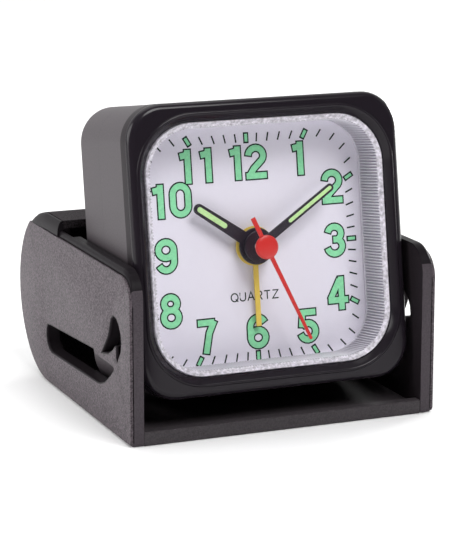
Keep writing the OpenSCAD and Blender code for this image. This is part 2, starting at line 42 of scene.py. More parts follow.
# ---- sizes, in millimetres, matching the CAD ----
LEAN = math.radians(9)
CASE_FRONT = -37.5
ORIGIN_Y, ORIGIN_Z = CASE_FRONT + 2.4, 8.2
HALF = 31.0
CORNER_R = 8
BEZEL_T = 5.2
WIN = (27.4, 26.8, 11.0)
LENS_V, LENS_T = 0.9, 1.2
DIAL_V = 11.4
SHAFT_U = 30.2
IN_X, OUT_X = 32.0, 35.0
CASE_H, RIM_Z = 39.0, 36.8
REAR_R = 19.5
REAR_Y = 37.5 - REAR_R
NOTCH_Y = CASE_FRONT + 46.5

# the clock's own frame: x across, v back from its face, u up it
CLOCK = Matrix.Translation((0, ORIGIN_Y, ORIGIN_Z)) @ Matrix.Rotation(-LEAN, 4, "X")


# ---- materials ----
def material(name, color, rough, metallic=0.0, spec=0.5, alpha=1.0):
    m = bpy.data.materials.new(name)
    m.use_nodes = True
    b = m.node_tree.nodes["Principled BSDF"]
    b.inputs["Base Color"].default_value = (*color, 1)
    b.inputs["Roughness"].default_value = rough
    b.inputs["Metallic"].default_value = metallic
    b.inputs["Specular IOR Level"].default_value = spec
    b.inputs["Alpha"].default_value = alpha
    return m


def grain(m, scale, strength, speckle=0.0, distance=0.0001):
    """Fine moulded texture: bump from noise, and a faint speckle in the colour."""
    nt = m.node_tree
    b = nt.nodes["Principled BSDF"]
    at = nt.nodes.new("ShaderNodeTexCoord")
    noise = nt.nodes.new("ShaderNodeTexNoise")
    noise.inputs["Scale"].default_value = scale
    noise.inputs["Detail"].default_value = 3
    nt.links.new(at.outputs["Object"], noise.inputs["Vector"])
    bump = nt.nodes.new("ShaderNodeBump")
    bump.inputs["Strength"].default_value = strength
    bump.inputs["Distance"].default_value = distance
    nt.links.new(noise.outputs["Fac"], bump.inputs["Height"])
    nt.links.new(bump.outputs["Normal"], b.inputs["Normal"])
    if speckle:
        ramp = nt.nodes.new("ShaderNodeMapRange")
        ramp.inputs["From Min"].default_value = 0.3
        ramp.inputs["From Max"].default_value = 0.7
        ramp.inputs["To Min"].default_value = 1 - speckle
        ramp.inputs["To Max"].default_value = 1 + speckle
        base = b.inputs["Base Color"].default_value[:]
        mix = nt.nodes.new("ShaderNodeVectorMath")
        mix.operation = "SCALE"
        mix.inputs[0].default_value = base[:3]
        nt.links.new(noise.outputs["Fac"], ramp.inputs["Value"])
        nt.links.new(ramp.outputs["Result"], mix.inputs["Scale"])
        nt.links.new(mix.outputs["Vector"], b.inputs["Base Color"])
    return m


TEXTURED = grain(material("textured_black", (0.064, 0.05, 0.059), 0.5, spec=0.3), 2900, 0.9, 0.9)
SATIN = grain(material("satin_black", (0.056, 0.047, 0.053), 0.5, spec=0.35), 2600, 0.2, 0.15)
GLOSS = grain(material("gloss_black", (0.013, 0.01, 0.014), 0.16, spec=0.22), 300, 0.03)
# near-black with little sheen: the driver chip's own black and the dark seam groove, and painted
# shade on the case's inner faces, the walls of its openings and the bezel's back and side
DARK_AND_SHADE = grain(material("black_and_painted_shade", (0.02, 0.016, 0.019), 0.4, spec=0.06), 900, 0.1)
EDGE = grain(material("edge_black", (0.012, 0.01, 0.012), 0.35, spec=0.04), 900, 0.05)
# a darker copy of the textured black for the cheeks' front faces: painted shade
FRONT_PAINTED_SHADE = grain(material("front_black_painted_shade", (0.054, 0.044, 0.052), 0.45, spec=0.2), 2900, 0.3, 0.2)
# a darker copy of the textured black for the case's base plate: painted shade
FLOOR_PAINTED_SHADE = grain(material("floor_black_painted_shade", (0.046, 0.04, 0.044), 0.35, spec=0.2), 2900, 0.3, 0.3)
# the top plate's textured black, darker and with less sheen than the cheeks': painted shade
TOP_PAINTED_SHADE = grain(material("cover_black_painted_shade", (0.03, 0.025, 0.028), 0.6, spec=0.03), 2900, 0.9, 0.9)
CLEAR = grain(material("clear_pane", (0.3, 0.3, 0.32), 0.03, alpha=0.02), 40, 0.01)
# the clear skirt and its rim are coloured whitish and nearly opaque: painted light, standing for the
# white dial seen through the clear plastic
RIBS_PAINTED_LIGHT = grain(material("clear_ribs_painted_light", (0.9, 0.88, 0.94), 0.2, alpha=0.9), 500, 0.1)
RIM_PAINTED_LIGHT = grain(material("clear_rim_painted_light", (0.68, 0.65, 0.72), 0.25, alpha=0.85), 1400, 0.6, 0.4)
# a darker clear for the valleys between the ribs: painted shade
RIB_SHADE = grain(material("clear_rib_valley_painted_shade", (0.34, 0.31, 0.38), 0.3, alpha=0.9), 500, 0.1)
DIAL = grain(material("dial_white", (0.78, 0.75, 0.84), 0.5, spec=0.2), 900, 0.02, 0.01)
GREEN = grain(material("print_green", (0.27, 0.72, 0.4), 0.5, spec=0.2), 1500, 0.05, 0.08)
INK = grain(material("print_dark", (0.008, 0.02, 0.016), 0.5, spec=0.1), 1500, 0.05, 0.1)
LUME = grain(material("lume", (0.5, 0.74, 0.34), 0.55, spec=0.2), 1600, 0.1, 0.08)
HAND_BLACK = grain(material("hand_black", (0.018, 0.012, 0.022), 0.35), 500, 0.04)
HAND_RED = grain(material("hand_red", (0.56, 0.018, 0.015), 0.35), 500, 0.04)
HAND_YELLOW = grain(material("hand_yellow", (0.78, 0.56, 0.1), 0.4, spec=0.3), 500, 0.04)
STEEL = grain(material("steel", (0.6, 0.6, 0.58), 0.28, metallic=1), 700, 0.08)
BRASS = grain(material("brass", (0.78, 0.58, 0.25), 0.3, metallic=1), 700, 0.08)
COPPER = grain(material("copper", (0.75, 0.36, 0.16), 0.3, metallic=1), 3000, 0.4)
WHITE = grain(material("acetal_white", (0.78, 0.77, 0.72), 0.4), 900, 0.05, 0.02)
BOARD = grain(material("board_green", (0.03, 0.2, 0.08), 0.4), 1200, 0.1, 0.1)
CELL = grain(material("cell_jacket", (0.55, 0.36, 0.07), 0.25, metallic=0.6), 500, 0.05)
IRON = grain(material("iron", (0.32, 0.32, 0.34), 0.4, metallic=1), 1500, 0.15)
MAGNET = grain(material("magnet", (0.08, 0.08, 0.09), 0.5), 1500, 0.2, 0.1)


# ---- mesh helpers: points are in millimetres ----
def make(name, body, verts, faces, mats, index=None, angle=32, at=None, flat=False):
    data = bpy.data.meshes.new(name)
    place = at or Matrix.Identity(4)
    data.from_pydata([(place @ Vector(v)) * MM for v in verts], [], faces)
    for m in mats:
        data.materials.append(m)
    if index:
        data.polygons.foreach_set("material_index", index)
    bm = bmesh.new()
    bm.from_mesh(data)
    if flat:
        bmesh.ops.reverse_faces(bm, faces=[f for f in bm.faces if f.normal.y > 0])
    else:
        bmesh.ops.remove_doubles(bm, verts=bm.verts, dist=1e-7)
        bmesh.ops.recalc_face_normals(bm, faces=bm.faces)
    bm.to_mesh(data)
    bm.free()
    data.shade_smooth()
    data.set_sharp_from_angle(angle=math.radians(angle))
    o = bpy.data.objects.new(name, data)
    bpy.context.scene.collection.objects.link(o)
    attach(o, body)
    return o


class Shell:
    """Loops of points joined by quads, with optional caps that may have holes."""

    def __init__(self):
        self.verts, self.faces, self.index = [], [], []

    def loop(self, points):
        start = len(self.verts)
        self.verts += points
        return list(range(start, start + len(points)))

    def bridge(self, a, b, mat=0, closed=True, pick=None):
        n = len(a)
        for i in range(n if closed else n - 1):
            j = (i + 1) % n
            self.faces.append((a[i], a[j], b[j], b[i]))
            self.index.append(pick(i) if pick else mat)

    def sweep(self, loops, mats=0):
        rings = [self.loop(p) for p in loops]
        for k in range(len(rings) - 1):
            mat = mats[k] if isinstance(mats, list) else mats
            self.bridge(rings[k], rings[k + 1], mat)
        return rings

    def cap(self, ring):
        self.faces.append(tuple(ring))
        self.index.append(0)

    def cap_holes(self, rings, mat=0):
        """A flat face bounded by the first ring, with the other rings as holes."""
        bm = bmesh.new()
        edges = []
        back = {}
        for ring in rings:
            vs = [bm.verts.new(self.verts[i]) for i in ring]
            back.update(zip(vs, ring))
            edges += [bm.edges.new((vs[k], vs[(k + 1) % len(vs)])) for k in range(len(vs))]
        bmesh.ops.triangle_fill(bm, use_beauty=True, use_dissolve=False, edges=edges)
        for f in bm.faces:
            self.faces.append(tuple(back[v] for v in f.verts))
            self.index.append(mat)
        bm.free()

    def done(self, name, body, mats, at=None, angle=32, flat=False):
        return make(name, body, self.verts, self.faces, mats, self.index, angle, at, flat)


def rounded(hw, hh, r, v, n=12):
    """A rounded rectangle at depth v in the clock's frame."""
    out = []
    for k, (sx, sy) in enumerate([(1, 1), (-1, 1), (-1, -1), (1, -1)]):
        for i in range(n + 1):
            a = math.pi / 2 * (k + i / n)
            x = sx * (hw - r) + r * math.cos(a)
            u = HALF + sy * (hh - r) + r * math.sin(a)
            out.append((x, v, u))
    return out


def win(e, v):
    """The bezel's opening, grown by e."""
    return rounded(WIN[0] + e, WIN[1] + e, WIN[2] + e, v)


def face(e, v):
    """The clock's outline, shrunk by e."""
    return rounded(HALF - e, HALF - e, CORNER_R - e, v)


def arc(c, r, a0, a1, n):
    """Points on a circle round c, from a0 to a1 degrees."""
    angles = [math.radians(a0 + (a1 - a0) * i / n) for i in range(n + 1)]
    return [(c[0] + r * math.cos(a), c[1] + r * math.sin(a)) for a in angles]


# ---- bezel ----
s = Shell()
FACE_V = 0.3
EDGE_R = 1.6
turns = [math.pi / 2 * k / 8 for k in range(9)]
edge = [
    face(EDGE_R * (1 - math.cos(a)), FACE_V + EDGE_R * (1 - math.sin(a))) for a in turns
]
loops = [
    win(0, BEZEL_T),
    face(0.5, BEZEL_T),
    face(0.25, BEZEL_T - 0.25),
    face(0, BEZEL_T - 0.4),
    *edge,
]
# behind the flat face, a bead round the opening and a bevel down to the lens:
# distance outside the opening, depth
BEAD = [
    (2.3, 0.32), (2.05, 0.28), (1.9, 0.1), (1.72, 0.01), (1.5, 0.01),
    (1.3, 0.12), (1.15, 0.35), (0.15, 1.0), (0, 1.4),
]
loops += [win(e, v) for e, v in BEAD] + [win(0, BEZEL_T)]
# the bezel's back and outer side take the near-black, painted shade; its front and opening take the
# gloss
s.sweep(loops, [1, 1, 1, 1] + [0] * (len(loops) - 5))
bezel = s.done("bezel_moulding", "clock", [GLOSS, DARK_AND_SHADE], CLOCK, 40)
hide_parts("bezel")

# ---- middle shell, with a fine groove at each seam ----
s = Shell()
SEAM = 19.4
steps = [
    (0.9, BEZEL_T + 0.02),
    (0.45, BEZEL_T + 0.02),
    (0.22, BEZEL_T + 0.25),
    (0.22, SEAM - 0.45),
    (1.0, SEAM - 0.42),
    (1.1, SEAM - 0.02),
]
s.sweep([face(e, v) for e, v in steps], [0, 0, 0, 1, 1])
shell = s.done("mid_shell", "clock", [SATIN, DARK_AND_SHADE], CLOCK, 40)

# ---- lens: a flat pane, its rim and the fluted skirt behind it ----
s = Shell()
rings = s.sweep([win(-0.5, LENS_V), win(-0.12, LENS_V + 0.35), win(-0.12, LENS_V + LENS_T)])
s.cap(rings[0])
pane = s.done("lens_pane", "clock", [CLEAR], CLOCK)
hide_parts("lens")


RIBS = 300
PER_RIB = 4
RIB_DEPTH = 0.34


def fluted(e, v, depth):
    """A rounded rectangle whose wall has small ribs running along the depth."""
    hw, hh, r = WIN[0] + e, WIN[1] + e, WIN[2] + e
    straight = [2 * (hh - r), 2 * (hw - r)]
    bend = math.pi / 2 * r
    total = 2 * sum(straight) + 4 * bend
    out = []
    for k in range(RIBS * PER_RIB):
        d = total * k / (RIBS * PER_RIB)
        rib = depth * (0.5 + 0.5 * math.cos(2 * math.pi * k / PER_RIB))
        for side in range(8):
            length = straight[(side // 2) % 2] if side % 2 == 0 else bend
            if d <= length or side == 7:
                break
            d -= length
        q = side // 2
        a0 = math.pi / 2 * q
        nx, nz = math.cos(a0), math.sin(a0)
        cx, cz = [(1, -1), (1, 1), (-1, 1), (-1, -1)][q]
        if side % 2 == 0:
            base = (cx * (hw - r), cz * (hh - r))
            x = base[0] + nx * (r - rib) - nz * d
            z = base[1] + nz * (r - rib) + nx * d
        else:
            a = a0 + d / r
            c2 = [(1, 1), (-1, 1), (-1, -1), (1, -1)][q]
            x = c2[0] * (hw - r) + (r - rib) * math.cos(a)
            z = c2[1] * (hh - r) + (r - rib) * math.sin(a)
        out.append((x, v, HALF + z))
    return out


s = Shell()
SKIRT_END = DIAL_V - 0.1
smooth = [fluted(-0.12, v, 0) for v in (SKIRT_END, LENS_V + 0.3)]
smooth += [fluted(e, LENS_V + v, 0) for e, v in ((-0.3, 0.12), (-0.6, 0.3), (-0.9, 0.7))]
ribs = [
    fluted(-1.1, LENS_V + 0.8, RIB_DEPTH),
    fluted(-1.1, 10.2, RIB_DEPTH),
    fluted(-1.1, 10.3, 0),
    fluted(-1.1, SKIRT_END, 0),
]
rings = s.sweep(smooth, 2)
top, foot, *back = [s.loop(p) for p in ribs]
s.bridge(rings[-1], top, 2)
# the faces running into each valley take the darker clear: painted shade
s.bridge(top, foot, pick=lambda i: 1 if i % PER_RIB in (1, 2) else 0)
for a, b in zip((foot, *back), (*back, rings[0])):
    s.bridge(a, b, 0)
# ribs and rim are whitish: painted light from the dial through the clear plastic
skirt = s.done("lens_skirt", "clock", [RIBS_PAINTED_LIGHT, RIB_SHADE, RIM_PAINTED_LIGHT], CLOCK, 60)

# ---- dial plate ----
s = Shell()
rings = s.sweep([rounded(27.9, 27.3, 11, v) for v in (DIAL_V, DIAL_V + 0.6)])
s.cap(rings[0])
s.cap(rings[1])
dial = s.done("dial_plate", "clock", [DIAL], CLOCK)
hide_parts("dial")


# ---- printing: flat strokes laid on the dial, dark below and green above ----
class Print:
    def __init__(self):
        self.shell = Shell()

    def strip(self, points, width, lift, mat, ends=0.0, closed=False):
        """A stroke of constant width along points [x, u], mitred at its corners."""
        p = [Vector(q) for q in points]
        if not closed and ends:
            p[0] = p[0] - (p[1] - p[0]).normalized() * ends
            p[-1] = p[-1] + (p[-1] - p[-2]).normalized() * ends
        n = len(p)
        left, right = [], []
        for i in range(n):
            before = p[i] - p[i - 1] if i or closed else p[1] - p[0]
            after = p[(i + 1) % n] - p[i] if i < n - 1 or closed else before
            if i == 0 and not closed:
                before = after
            t = (before.normalized() + after.normalized()).normalized()
            normal = Vector((-t.y, t.x))
            cos = max(0.5, t.dot(before.normalized()))
            w = width / 2 / cos
            left.append((p[i].x + normal.x * w, DIAL_V - lift, p[i].y + normal.y * w))
            right.append((p[i].x - normal.x * w, DIAL_V - lift, p[i].y - normal.y * w))
        a, b = self.shell.loop(left), self.shell.loop(right)
        self.shell.bridge(b, a, mat, closed)


def oval(cx, cy, rx, ry, a0=0, a1=360, n=20):
    """Points on an ellipse, from a0 to a1 degrees. A whole one doesn't repeat its start."""
    count = n if a1 - a0 == 360 else n + 1
    angles = [math.radians(a0 + (a1 - a0) * i / n) for i in range(count)]
    return [(cx + rx * math.cos(a), cy + ry * math.sin(a)) for a in angles]


# digits in a box one unit high, centred: each is a list of (points, closed)
STROKE = 0.195
BOWL = 0.235
DIGITS = {
    "0": [
        (oval(0, 0.16, BOWL, 0.245, 0, 180, 12) + oval(0, -0.16, BOWL, 0.245, 180, 360, 12), True)
    ],
    "1": [
        ([(0.07, -0.5), (0.07, 0.49)], False),
        ([(-0.17, 0.3), (0.0, 0.33), (0.07, 0.4)], False),
    ],
    "2": [
        (oval(0, 0.18, BOWL, 0.225, 178, -38, 14) + [(-0.08, -0.2), (-0.225, -0.405)], False),
        ([(-0.33, -0.405), (0.33, -0.405)], False),
    ],
    "3": [
        (oval(-0.01, 0.2, 0.215, 0.2, 170, -72, 14), False),
        (oval(-0.01, -0.18, 0.24, 0.22, 76, -170, 14), False),
        ([(-0.06, 0.018), (0.06, 0.018)], False),
    ],
    "4": [
        ([(0.1, -0.5), (0.1, 0.5)], False),
        ([(0.06, 0.42), (-0.26, -0.16)], False),
        ([(-0.34, -0.2), (0.32, -0.2)], False),
    ],
    "5": [
        ([(0.27, 0.405), (-0.16, 0.405), (-0.21, -0.03)], False),
        (oval(-0.01, -0.16, 0.245, 0.245, 140, -165, 16), False),
    ],
    "6": [
        (oval(0, -0.18, BOWL, 0.225, 0, 360, 20), True),
        (oval(0.01, 0.13, 0.245, 0.275, 28, 180, 12) + [(-0.235, -0.18)], False),
    ],
    "7": [
        ([(-0.3, 0.405), (0.23, 0.405)], False),
        ([(0.225, 0.45), (0.05, 0.1), (-0.08, -0.5)], False),
    ],
    "8": [
        (oval(0, 0.215, 0.2, 0.19, 0, 360, 18), True),
        (oval(0, -0.185, 0.23, 0.22, 0, 360, 18), True),
    ],
}
DIGITS["9"] = [([(-x, -y) for x, y in pts], closed) for pts, closed in DIGITS["6"]]
# centre of each number from the centre of the printing
NUMERALS = {
    12: (-0.2, 18.3), 1: (12.0, 18.4), 2: (19.7, 11.7), 3: (19.7, -0.1),
    4: (19.8, -11.8), 5: (12.1, -18.3), 6: (0.2, -18.4), 7: (-11.5, -18.4),
    8: (-19.6, -12.2), 9: (-19.9, -0.4), 10: (-18.4, 11.3), 11: (-11.9, 18.3),
}
PRINT_U = 29.9
HEIGHT = 7.4
LAYER = 0.006  # strokes of one number lie this far apart, so that they don't flicker
pr = Print()
for hour, (cx, cy) in NUMERALS.items():
    text = str(hour)
    step = 0.68 if text == "10" else 0.64
    start = -(len(text) - 1) * step / 2
    if text == "12":
        start -= 0.02
    for rim in (True, False):
        layer = 0
        for k, digit in enumerate(text):
            ox = cx + (start + k * step) * HEIGHT
            for pts, closed in DIGITS[digit]:
                moved = [(ox + x * HEIGHT, PRINT_U + cy + y * HEIGHT) for x, y in pts]
                lift = LAYER * layer
                layer += 1
                if rim:
                    pr.strip(moved, STROKE * HEIGHT + 0.46, 0.015 + lift, 1, 0.23, closed)
                else:
                    pr.strip(moved, STROKE * HEIGHT - 0.14, 0.06 + lift, 0, -0.07, closed)

# minute track: green bars at the hours and thin ticks between them, on a rounded square
TRACK = (23.7, 23.6, 7.0)  # half width, half height, corner radius


def track_point(angle):
    """Where a ray at a clock angle from the centre meets the rounded square."""
    dx, dy = math.sin(angle), math.cos(angle)
    hw, hh, r = TRACK
    across = hw / abs(dx) if abs(dx) > 1e-9 else 1e9
    upward = hh / abs(dy) if abs(dy) > 1e-9 else 1e9
    t = min(across, upward)
    x, y = dx * t, dy * t
    if abs(x) > hw - r and abs(y) > hh - r:
        cx, cy = math.copysign(hw - r, x), math.copysign(hh - r, y)
        b = dx * cx + dy * cy
        t = b + math.sqrt(b * b - (cx * cx + cy * cy - r * r))
        x, y = dx * t, dy * t
    return Vector((x, y)), Vector((dx, dy))


for minute in range(60):
    p, d = track_point(math.radians(6 * minute))
    c = p + Vector((0, PRINT_U))
    if minute % 5:
        pr.strip([c - d * 0.95, c + d * 0.95], 0.34, 0.03, 1)
    else:
        pr.strip([c - d * 1.2, c + d * 1.2], 1.25, 0.015, 1)
        pr.strip([c - d * 0.85, c + d * 0.85], 0.66, 0.06, 0)
printing = pr.shell.done("dial_printing", "clock", [GREEN, INK], CLOCK, flat=True)


# a plain word for the kind of movement, in thin strokes
LETTERS = {
    "Q": [(oval(0, 0, 0.42, 0.46, 0, 360, 20), True), ([(0.12, -0.2), (0.42, -0.5)], False)],
    "U": [
        (
            [(-0.34, 0.5), (-0.34, -0.15)]
            + oval(0, -0.14, 0.34, 0.32, 180, 360, 12)
            + [(0.34, 0.5)],
            False,
        )
    ],
    "A": [
        ([(-0.4, -0.5), (0, 0.5), (0.4, -0.5)], False),
        ([(-0.26, -0.14), (0.26, -0.14)], False),
    ],
    "R": [
        (
            [(-0.32, -0.5), (-0.32, 0.46), (0.1, 0.46)]
            + oval(0.1, 0.22, 0.24, 0.24, 80, -80, 8)
            + [(-0.3, -0.02)],
            False,
        ),
        ([(0.06, -0.02), (0.36, -0.5)], False),
    ],
    "T": [([(0, -0.5), (0, 0.46)], False), ([(-0.38, 0.46), (0.38, 0.46)], False)],
    "Z": [([(-0.34, 0.46), (0.34, 0.46), (-0.36, -0.46), (0.38, -0.46)], False)],
}
WORD_U, WORD_H, WORD_STEP = 19.3, 1.9, 1.92
pr = Print()
for k, letter in enumerate("QUARTZ"):
    for pts, closed in LETTERS[letter]:
        moved = [((k - 2.5) * WORD_STEP + x * WORD_H, WORD_U + y * WORD_H) for x, y in pts]
        pr.strip(moved, 0.27, 0.03, 0, 0, closed)
word = pr.shell.done("dial_word", "clock", [INK], CLOCK, flat=True)


# ---- hands ----
def plate(outline, v, t, bevel):
    """A flat outline [x, u] extruded towards the back from depth v, its front edge rounded."""
    s = Shell()
    cut = inset(outline, bevel)
    rings = s.sweep([
        [(x, v, u) for x, u in cut],
        [(x, v + bevel * 0.7, u) for x, u in outline],
        [(x, v + t, u) for x, u in outline],
    ])
    s.cap(rings[0])
    s.cap(rings[-1])
    return s


def inset(points, d):
    """The outline moved inward by d. Its points run anticlockwise."""
    n = len(points)
    out = []
    for i in range(n):
        a, b, c = Vector(points[i - 1]), Vector(points[i]), Vector(points[(i + 1) % n])
        t1, t2 = (b - a).normalized(), (c - b).normalized()
        n1, n2 = Vector((-t1.y, t1.x)), Vector((-t2.y, t2.x))
        m = n1 + n2
        m = m / max(m.length_squared, 0.3) * 2
        out.append((b.x + m.x * d, b.y + m.y * d))
    return out


def lollipop(r, w0, w1, length, tip):
    """A disc of radius r with a tapered arm pointing up, its tip rounded by radius tip."""
    a = math.degrees(math.asin(w0 / 2 / r))
    return (
        arc((0, 0), r, 90 + a, 450 - a, 40)
        + arc((w1 / 2 - tip, length - tip), tip, 0, 90, 4)
        + arc((-w1 / 2 + tip, length - tip), tip, 90, 180, 4)
    )


def turned(angle):
    """The clock's frame moved to the shaft and turned clockwise, in degrees."""
    return CLOCK @ Matrix.Translation((0, 0, SHAFT_U)) @ Matrix.Rotation(math.radians(angle), 4, "Y")


def capsule(y0, y1, w):
    """A strip of width w with round ends, from y0 to y1 above the shaft."""
    return arc((0, y1), w / 2, 0, 180, 8) + arc((0, y0), w / 2, 180, 360, 8)


def circle(r, v, n):
    """A circle of n points round the shaft at depth v."""
    angles = [2 * math.pi * i / n for i in range(n)]
    return [(r * math.cos(a), v, r * math.sin(a)) for a in angles]


# where the hands point in the photograph, in degrees from twelve
SECOND = 156
MINUTE = 6 * (9 + 26 / 60)
HOUR = 30 * (10 + (9 + 26 / 60) / 60)
ALARM = 180

flat = plate(lollipop(4.3, 1.15, 1.15, 17.4, 0.1), 9.9, 0.35, 0.08)
o = flat.done("alarm_hand_face", "alarm", [HAND_YELLOW], turned(ALARM))
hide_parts("alarm_hand")
flat = plate(lollipop(4.0, 2.8, 2.35, 16.7, 1.1), 8.7, 0.35, 0.1)
o = flat.done("hour_hand_face", "hours", [HAND_BLACK], turned(HOUR))
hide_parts("hour_hand")
flat = plate(capsule(8.7, 15.4, 1.15), 8.64, 0.1, 0.03)
o = flat.done("hour_hand_lume", "hours", [LUME], turned(HOUR))
flat = plate(lollipop(3.4, 1.9, 1.75, 21.6, 0.85), 7.2, 0.35, 0.1)
o = flat.done("minute_hand_face", "minutes", [HAND_BLACK], turned(MINUTE))
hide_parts("minute_hand")
flat = plate(capsule(9.0, 20.7, 0.8), 7.14, 0.1, 0.03)
o = flat.done("minute_hand_lume", "minutes", [LUME], turned(MINUTE))
second = (
    arc((0, 0), 2.6, 90 + 10, 270 - 10, 20)
    + [(-0.5, -7.0), (0.5, -7.0)]
    + arc((0, 0), 2.6, 270 + 10, 450 - 10, 20)
    + arc((0, 22.2), 0.33, 0, 180, 6)
)
o = plate(second, 3.1, 0.35, 0.07).done("second_hand_face", "seconds", [HAND_RED], turned(SECOND))
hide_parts("second_hand")
s = Shell()
DOME = [(2.55, 3.12), (2.45, 2.9), (2.2, 2.78), (1.6, 2.7), (0.8, 2.66), (0.02, 2.65)]
rings = s.sweep([circle(r, v, 40) for r, v in DOME])
s.cap(rings[-1])
o = s.done("second_hand_cap", "seconds", [HAND_RED], turned(SECOND))
s = Shell()
TUBE = [(1.0, 3.4), (1.0, 5.1), (0.62, 5.1), (0.62, 3.4)]
s.sweep([circle(r, v, 24) for r, v in TUBE])
o = s.done("second_hand_hub", "seconds", [HAND_RED], turned(SECOND))


# ---- case cheeks: a polished core, and a textured skin on its outer side ----
SKIN_TOP = 35.4
CORE_X = 34.4


def core_outline(rear, notch, ledge, back, foot):
    """Side outline [y, z] of the core: its top inset by rear, by notch in front of the top plate
    and by ledge beside the opening, and its back and underside by back and foot."""
    pts = []
    for i in range(41):
        a = 90 - 180 * i / 40
        r = REAR_R - back - (rear - back) * min(1, max(0, (a - 40) / 40))
        pts.append((REAR_Y + r * math.cos(math.radians(a)), REAR_R + r * math.sin(math.radians(a))))
    pts = pts[::-1]
    top = RIM_Z - notch
    pts += [(NOTCH_Y, CASE_H - rear), (NOTCH_Y, CASE_H - rear - 0.02)]
    pts += [(NOTCH_Y - 0.02, RIM_Z - ledge), (NOTCH_Y - 7.0, RIM_Z - ledge), (NOTCH_Y - 7.4, top)]
    pts += arc((CASE_FRONT + 6, top - 6), 6, 90, 180, 12)
    pts += [(CASE_FRONT, foot + 0.6), (CASE_FRONT + 0.2, foot + 0.15), (CASE_FRONT + 0.6, foot)]
    return pts


def skin_outline(d, back):
    """Side outline of the skin, which ends in a straight line below the core's top."""
    top = SKIN_TOP - d
    r = REAR_R - back
    a0 = math.degrees(math.asin((top - REAR_R) / r))
    pts = arc((REAR_Y, REAR_R), r, -90, a0, 30)
    pts += arc((CASE_FRONT + 5.2, top - 5.2), 5.2, 90, 180, 12)
    pts += [(CASE_FRONT, back + 0.6), (CASE_FRONT + 0.2, back + 0.15), (CASE_FRONT + 0.6, back)]
    return pts


# the two openings of a cheek, as [distance behind the front, height]
SLOT = [
    (51.4, 8.05), (53.2, 8.5), (54.4, 9.6), (54.8, 11.2), (54.7, 12.7), (54.1, 13.55),
    (52.9, 13.8), (22.9, 15.5), (22.3, 14.5), (10.4, 14.5), (10.2, 14.2), (12.2, 12.6),
    (14.6, 11.0), (16.4, 10.0), (18.6, 9.3), (20.2, 9.05),
]
FIN = [
    (8.4, 19.7), (9.4, 19.6), (11.0, 18.3), (13.5, 17.1), (17.0, 16.45), (14.6, 18.9),
    (13.4, 20.2), (12.6, 21.5), (11.9, 23.2), (11.3, 24.7), (10.1, 25.6), (8.5, 25.5),
    (7.0, 24.4), (5.9, 22.9), (5.5, 21.0), (5.9, 19.2), (7.8, 16.7), (8.1, 17.2), (8.1, 19.6),
]


def hole_loops(points, side, depth):
    """An opening's loops, from its softened outer edge in to depth."""
    p = [(y + CASE_FRONT, z) for y, z in points]
    area = sum(p[i - 1][0] * p[i][1] - p[i][0] * p[i - 1][1] for i in range(len(p)))
    if area < 0:
        p = p[::-1]
    wide = inset(p, -0.38)
    mid = inset(p, -0.12)
    levels = ((OUT_X, wide), (OUT_X - 0.12, mid), (OUT_X - 0.5, p), (depth, p))
    return [[(side * x, y, z) for y, z in outline] for x, outline in levels]


def cheek(side, name):
    s = Shell()
    slices = [
        # x of the rear part, x of the front part, then core_outline's insets
        (IN_X, IN_X, 1.8, 0.25, 2.6, 1.8, 0),
        (IN_X, IN_X, 1.8, 0.0, 2.6, 1.8, 0),
        (33.42, 33.3, 1.8, 0.0, 2.6, 1.8, 0),
        (33.42, 33.32, 0.7, 0.0, 0.7, 0.7, 0),
        (33.68, 33.4, 0.7, 0.0, 0.2, 0.7, 0),
        (33.7, 33.7, 0.05, 0.0, 0.05, 0.1, 0),
    ]
    for k in range(1, 7):
        a = math.pi / 2 * k / 6
        out, inward = math.sin(a), 1 - math.cos(a)
        slices.append(
            (33.7 + 1.2 * out, 33.75 + 0.7 * out, 3.3 * inward, 1.15 * inward, 1.15 * inward, 0.1, 0)
        )
    slices.append((CORE_X, CORE_X, 3.5, 1.3, 1.3, 0.12, 0.05))
    slices.append((CORE_X, CORE_X, 5.5, 3.5, 3.5, 0.8, 0.5))

    def across(y, z, xr, xn):
        if z < 34:
            return min(xr, CORE_X)
        return xr if y > NOTCH_Y - 0.01 else min(xn, 34.5)

    rings = []
    for xr, xn, *insets in slices:
        pts = core_outline(*insets)
        rings.append(s.loop([(side * across(y, z, xr, xn), y, z) for y, z in pts]))
    front = len(rings[0])

    # faces at the front take the darker copy of the textured black, painted shade; faces high up
    # take the edge black
    def pick(i):
        a, b = (s.verts[rings[0][k % front]] for k in (i, i + 1))
        return 3 if max(a[1], b[1]) < CASE_FRONT + 0.5 else 1 if a[2] > 30 else 0

    for k in range(len(rings) - 1):
        s.bridge(rings[k], rings[k + 1], pick=pick)
    # the walls of the openings and the cheek's inner face take the near-black, painted shade
    inner_holes = []
    for points in (SLOT, FIN):
        hl = [s.loop(p) for p in hole_loops(points, side, IN_X)[2:]]
        s.bridge(hl[0], hl[1], 2)
        inner_holes.append(hl[1])
    s.cap_holes([rings[0], *inner_holes], 2)
    core = s.done(f"{name}_core", "case", [TEXTURED, EDGE, DARK_AND_SHADE, FRONT_PAINTED_SHADE], angle=30)
    s = Shell()
    levels = (
        (CORE_X - 0.2, 0.3, 0.2),
        (CORE_X + 0.05, 0.05, 0.2),
        (OUT_X - 0.25, 0.0, 0.2),
        (OUT_X - 0.08, 0.07, 0.3),
        (OUT_X, 0.25, 0.5),
    )
    rings = s.sweep([[(side * x, y, z) for y, z in skin_outline(d, b)] for x, d, b in levels])
    holes = []
    for points in (SLOT, FIN):
        hl = [s.loop(p) for p in hole_loops(points, side, CORE_X - 0.2)]
        # each opening's outer rim takes the edge black, and its wall the near-black, painted shade
        for k in range(3):
            s.bridge(hl[k], hl[k + 1], 1 if k < 1 else 2)
        holes.append(hl[0])
    s.cap_holes([rings[-1], *holes], 0)
    skin = s.done(f"{name}_skin", "case", [TEXTURED, EDGE, DARK_AND_SHADE], angle=30)
    return core


for side, name in ((-1, "left"), (1, "right")):
    o = cheek(side, f"cheek_{name}")
    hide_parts(f"case_{name}_cheek")

